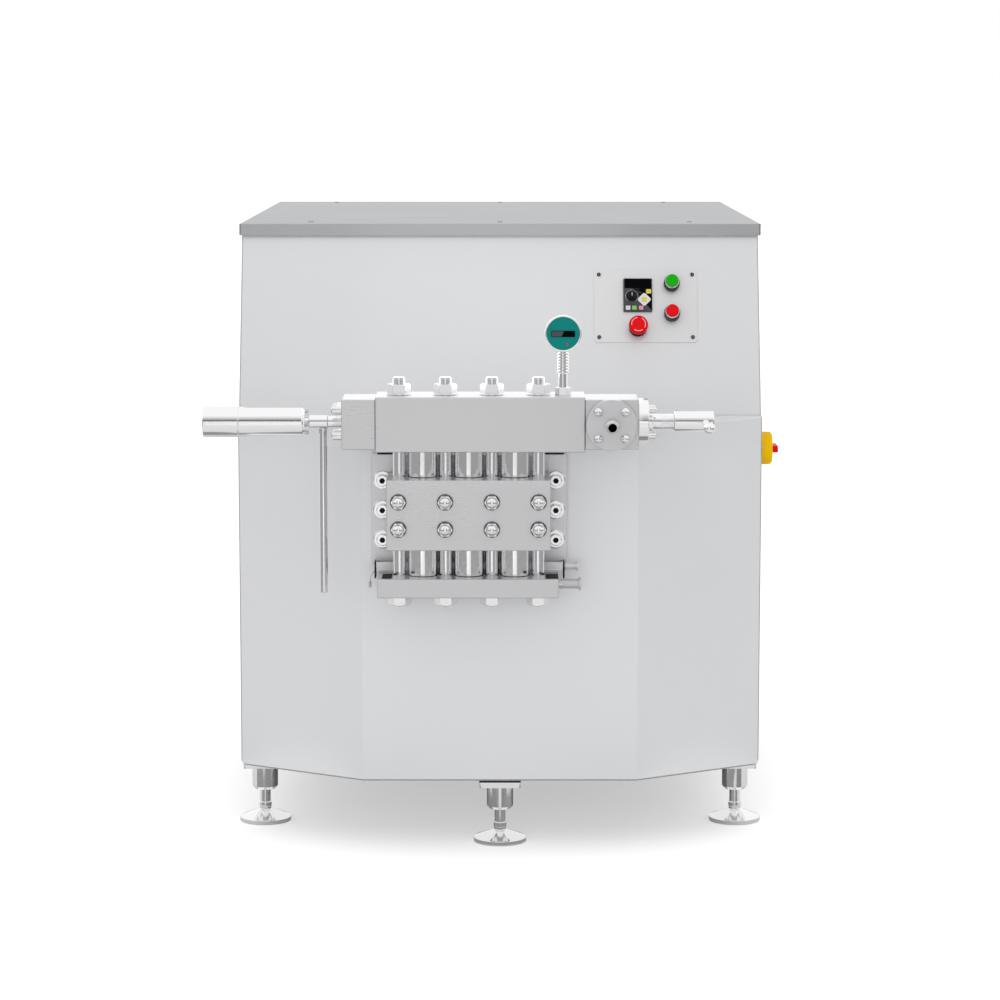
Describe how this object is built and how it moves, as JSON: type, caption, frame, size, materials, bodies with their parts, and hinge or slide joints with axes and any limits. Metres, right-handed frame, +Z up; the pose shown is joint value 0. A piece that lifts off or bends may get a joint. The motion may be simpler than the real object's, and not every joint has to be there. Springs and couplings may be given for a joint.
{
  "type": "high-pressure homogenizer",
  "caption": "Floor-standing high-pressure homogenizer with a stainless cabinet, a plunger pump head, homogenizing valve stages, a control panel and levelling feet.",
  "frame": {"origin": "on the floor under the middle of the machine's bounding box", "axes": "+Z up, -Y towards the operator at the front, +X to the operator's right"},
  "size_m": [1.1645, 1.7975, 1.2664],
  "materials": {
    "stainless_sheet": "satin",
    "machined_stainless": "fine brushed",
    "polished_stainless": "polished",
    "painted_frame": "satin",
    "gauge_teal": "gloss",
    "keypad_grey": "matte",
    "knob_black": "matte",
    "key_yellow": "satin",
    "key_white": "satin",
    "key_green": "satin",
    "key_pink": "satin",
    "bezel_metal": "satin",
    "cap_green": "gloss",
    "cap_red": "gloss",
    "stem_black": "matte",
    "switch_yellow": "satin",
    "switch_red": "satin",
    "crankcase_iron": "painted grey",
    "plunger_ceramic": "polished",
    "pulley_iron": "phosphated",
    "belt_rubber": "matte",
    "motor_paint": "satin"
  },
  "bodies": {
    "cabinet": {"lower_front_cover": "stainless_sheet", "upper_front_panel": "stainless_sheet", "left_side_panel": "stainless_sheet", "right_side_panel": "stainless_sheet", "rear_panel": "stainless_sheet", "top_cover": "stainless_sheet", "control_plate": "stainless_sheet", "drip_tray": "stainless_sheet", "mounting_plate": "machined_stainless", "pump_block": "machined_stainless", "suction_manifold": "machined_stainless", "discharge_block": "machined_stainless", "first_stage_block": "machined_stainless", "second_stage_block": "machined_stainless", "outlet_flange": "machined_stainless", "valve_housings": "polished_stainless", "tie_studs": "polished_stainless", "head_nuts": "polished_stainless", "cap_screws": "polished_stainless", "first_stage_stem": "polished_stainless", "spring_cylinder": "polished_stainless", "second_stage_bonnet": "polished_stainless", "gauge_stem": "polished_stainless", "gauge_case": "polished_stainless", "foot_sleeves": "polished_stainless", "panel_screws": "polished_stainless", "base_frame": "painted_frame", "motor_rails": "painted_frame", "gauge_face": "gauge_teal", "keypad_body": "keypad_grey", "button_bezels": "bezel_metal", "cable_gland": "stem_black", "switch_plate": "switch_yellow", "crankcase": "crankcase_iron", "drive_belts": "belt_rubber", "motor": "motor_paint"},
    "plunger_1": {"plunger_1": "plunger_ceramic"},
    "plunger_2": {"plunger_2": "plunger_ceramic"},
    "plunger_3": {"plunger_3": "plunger_ceramic"},
    "drive_pulley": {"drive_pulley": "pulley_iron"},
    "motor_pulley": {"motor_pulley": "pulley_iron"},
    "pressure_lever": {"pressure_lever": "polished_stainless"},
    "t_handle": {"t_handle": "polished_stainless"},
    "start_button": {"start_button": "cap_green"},
    "stop_button": {"stop_button": "cap_red"},
    "estop_stem": {"estop_stem": "stem_black"},
    "estop_head": {"estop_head": "cap_red"},
    "speed_knob": {"speed_knob": "knob_black"},
    "menu_key": {"menu_key": "key_yellow"},
    "arrow_pad": {"arrow_pad": "key_white"},
    "enter_key": {"enter_key": "key_yellow"},
    "jog_key": {"jog_key": "key_white"},
    "run_key": {"run_key": "key_green"},
    "stop_key": {"stop_key": "key_pink"},
    "switch_handle": {"switch_handle": "switch_red"},
    "foot_nose": {"foot_nose": "polished_stainless"},
    "foot_front_left": {"foot_front_left": "polished_stainless"},
    "foot_front_right": {"foot_front_right": "polished_stainless"},
    "foot_rear_left": {"foot_rear_left": "polished_stainless"},
    "foot_rear_right": {"foot_rear_right": "polished_stainless"}
  },
  "joints": [
    {"name": "plunger_1_stroke", "type": "slide", "parent": "cabinet", "child": "plunger_1", "axis": [0, 1, 0], "range_m": [-0.025, 0.025]},
    {"name": "plunger_2_stroke", "type": "slide", "parent": "cabinet", "child": "plunger_2", "axis": [0, 1, 0], "range_m": [-0.025, 0.025]},
    {"name": "plunger_3_stroke", "type": "slide", "parent": "cabinet", "child": "plunger_3", "axis": [0, 1, 0], "range_m": [-0.025, 0.025]},
    {"name": "drive_pulley_spin", "type": "hinge", "parent": "cabinet", "child": "drive_pulley", "pos_m": [0.25, -0.32, 0.69], "axis": [1, 0, 0], "continuous": true},
    {"name": "motor_pulley_spin", "type": "hinge", "parent": "cabinet", "child": "motor_pulley", "pos_m": [0.25, 0.33, 0.415], "axis": [1, 0, 0], "continuous": true},
    {"name": "pressure_lever_turn", "type": "hinge", "parent": "cabinet", "child": "pressure_lever", "pos_m": [-0.351, -0.757, 0.8907], "axis": [-1, 0, 0], "range_deg": [-15, 180]},
    {"name": "t_handle_turn", "type": "hinge", "parent": "cabinet", "child": "t_handle", "pos_m": [0.407, -0.757, 0.8907], "axis": [1, 0, 0], "continuous": true},
    {"name": "start_button_press", "type": "slide", "parent": "cabinet", "child": "start_button", "axis": [0, 0.9423, -0.3349], "range_m": [0, 0.004], "stiffness_N_per_m": 500},
    {"name": "stop_button_press", "type": "slide", "parent": "cabinet", "child": "stop_button", "axis": [0, 0.9423, -0.3349], "range_m": [0, 0.004], "stiffness_N_per_m": 500},
    {"name": "estop_press", "type": "slide", "parent": "cabinet", "child": "estop_stem", "axis": [0, 0.9423, -0.3349], "range_m": [0, 0.005]},
    {"name": "estop_twist", "type": "hinge", "parent": "estop_stem", "child": "estop_head", "pos_m": [0.2868, -0.43944, 1.05816], "axis": [0, 0.9423, -0.3349], "range_deg": [0, 30], "stiffness_Nm_per_rad": 0.05},
    {"name": "speed_knob_turn", "type": "hinge", "parent": "cabinet", "child": "speed_knob", "pos_m": [0.2743, -0.40196, 1.11584], "axis": [0, -0.9423, 0.3349], "range_deg": [-150, 150]},
    {"name": "menu_key_press", "type": "slide", "parent": "cabinet", "child": "menu_key", "axis": [0, 0.9423, -0.3349], "range_m": [0, 0.001], "stiffness_N_per_m": 300},
    {"name": "arrow_pad_press", "type": "slide", "parent": "cabinet", "child": "arrow_pad", "axis": [0, 0.9423, -0.3349], "range_m": [0, 0.001], "stiffness_N_per_m": 300},
    {"name": "enter_key_press", "type": "slide", "parent": "cabinet", "child": "enter_key", "axis": [0, 0.9423, -0.3349], "range_m": [0, 0.001], "stiffness_N_per_m": 300},
    {"name": "jog_key_press", "type": "slide", "parent": "cabinet", "child": "jog_key", "axis": [0, 0.9423, -0.3349], "range_m": [0, 0.001], "stiffness_N_per_m": 300},
    {"name": "run_key_press", "type": "slide", "parent": "cabinet", "child": "run_key", "axis": [0, 0.9423, -0.3349], "range_m": [0, 0.001], "stiffness_N_per_m": 300},
    {"name": "stop_key_press", "type": "slide", "parent": "cabinet", "child": "stop_key", "axis": [0, 0.9423, -0.3349], "range_m": [0, 0.001], "stiffness_N_per_m": 300},
    {"name": "switch_handle_turn", "type": "hinge", "parent": "cabinet", "child": "switch_handle", "pos_m": [0.566, -0.445, 0.803], "axis": [1, 0, 0], "range_deg": [0, 90]},
    {"name": "foot_nose_swivel", "type": "hinge", "parent": "cabinet", "child": "foot_nose", "pos_m": [0, -0.58, 0.06], "axis": [0, 0, 1], "continuous": true},
    {"name": "foot_front_left_swivel", "type": "hinge", "parent": "cabinet", "child": "foot_front_left", "pos_m": [-0.499, -0.391, 0.06], "axis": [0, 0, 1], "continuous": true},
    {"name": "foot_front_right_swivel", "type": "hinge", "parent": "cabinet", "child": "foot_front_right", "pos_m": [0.499, -0.391, 0.06], "axis": [0, 0, 1], "continuous": true},
    {"name": "foot_rear_left_swivel", "type": "hinge", "parent": "cabinet", "child": "foot_rear_left", "pos_m": [-0.499, 0.78, 0.06], "axis": [0, 0, 1], "continuous": true},
    {"name": "foot_rear_right_swivel", "type": "hinge", "parent": "cabinet", "child": "foot_rear_right", "pos_m": [0.499, 0.78, 0.06], "axis": [0, 0, 1], "continuous": true}
  ],
  "couplings": [
    {"joint": "motor_pulley_spin", "follows": "drive_pulley_spin", "ratio": 2.2791}
  ]
}
